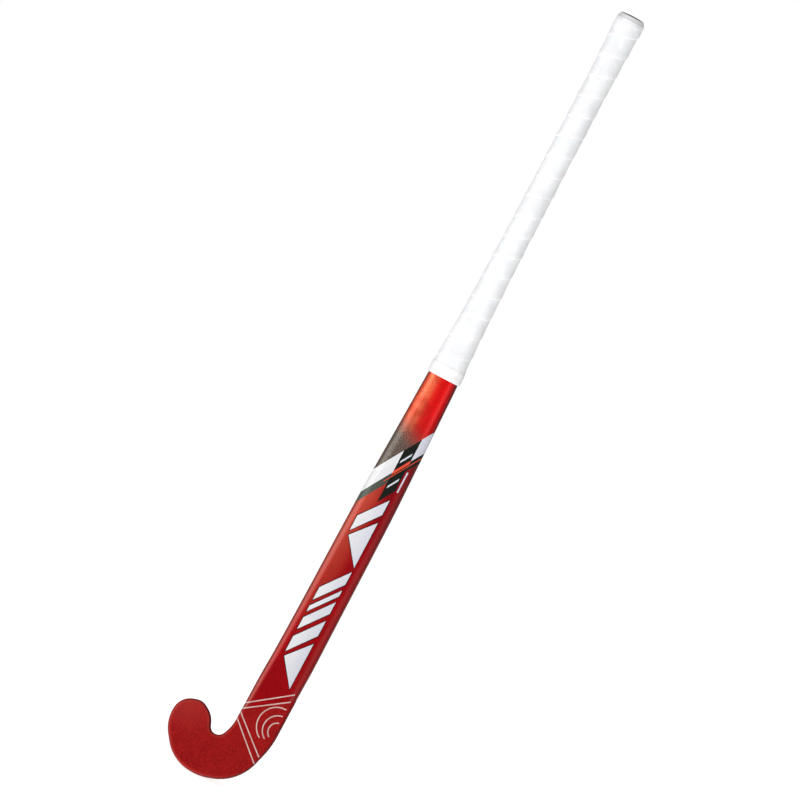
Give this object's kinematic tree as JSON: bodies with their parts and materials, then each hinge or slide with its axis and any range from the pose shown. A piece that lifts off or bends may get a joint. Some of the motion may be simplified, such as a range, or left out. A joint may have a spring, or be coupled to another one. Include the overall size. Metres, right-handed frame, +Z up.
{
  "type": "field hockey stick",
  "caption": "Right-handed field hockey stick with a hooked head, flat playing side, gently bowed shaft and tape-wound handle, shown upright.",
  "frame": {"origin": "on the handle's axis, in the middle of the grip", "axes": "+Z up the handle's axis to the butt end, -Y out of the flat playing side, -X towards the toe of the head"},
  "size_m": [0.1121, 0.0617, 0.9275],
  "materials": {
    "painted_laminate": "gloss",
    "head_foam": "matte",
    "core_foam": "matte",
    "rib_laminate": "satin",
    "damper_rubber": "matte",
    "plug_foam": "matte",
    "cap_rubber": "satin",
    "disc_plastic": "satin",
    "underwrap": "matte",
    "grip_tape": "satin",
    "finishing_tape": "satin",
    "panel_paint": "gloss",
    "white_paint": "gloss",
    "dark_paint": "gloss",
    "black_paint": "gloss",
    "orange_paint": "gloss",
    "head_coating": "matte"
  },
  "bodies": {
    "root": {"laminate_shell": "painted_laminate", "head_core": "head_foam", "bridge_rib": "rib_laminate", "toe_side_core": "core_foam", "heel_side_core": "core_foam", "damper_sleeve": "damper_rubber", "butt_plug": "plug_foam", "end_cap": "cap_rubber", "cap_disc": "disc_plastic", "grip_underwrap": "underwrap", "grip_tape": "grip_tape", "finishing_tape": "finishing_tape", "upper_panel_film": "panel_paint", "white_band_films": "white_paint", "dark_band_films": "dark_paint", "black_column_films": "black_paint", "orange_line_film": "orange_paint", "head_coating": "head_coating", "block_decals": "white_paint", "block_keylines": "black_paint", "pinstripe_decals": "white_paint", "arc_decals": "white_paint", "side_line_decal": "white_paint", "orange_bar_decal": "orange_paint", "column_tick_decals": "white_paint"}
  },
  "joints": []
}
